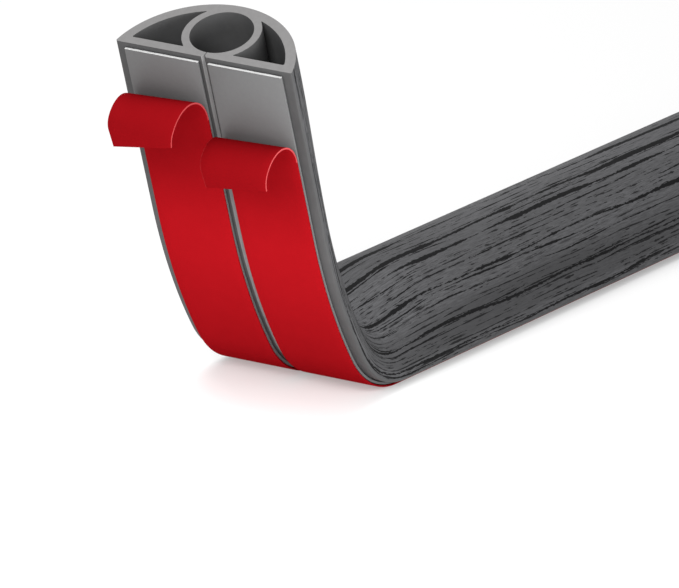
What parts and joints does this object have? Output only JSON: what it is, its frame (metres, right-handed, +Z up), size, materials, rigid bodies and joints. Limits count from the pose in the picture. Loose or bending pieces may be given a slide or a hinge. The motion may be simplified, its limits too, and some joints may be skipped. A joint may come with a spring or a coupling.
{
  "type": "floor cord cover",
  "caption": "Half-round flexible floor cord cover with a round cord bore, side pockets, adhesive strips and part-peeled release liners, one end bent up.",
  "frame": {"origin": "on the floor, under the middle of the whole shape", "axes": "+Z up, the cover runs along X, its raised end at -X"},
  "size_m": [0.951, 0.0598, 0.1272],
  "materials": {
    "cover": "flexible PVC, dark grey with near-black wood grain on the crown, plain grey cut ends",
    "adhesive": "grey double-sided adhesive strip",
    "liner": "red silicone-coated release film"
  },
  "bodies": {
    "root": {"cover_body": "cover", "adhesive_strip_left": "adhesive", "adhesive_strip_right": "adhesive", "release_liner_left": "liner", "release_liner_right": "liner"}
  },
  "joints": []
}
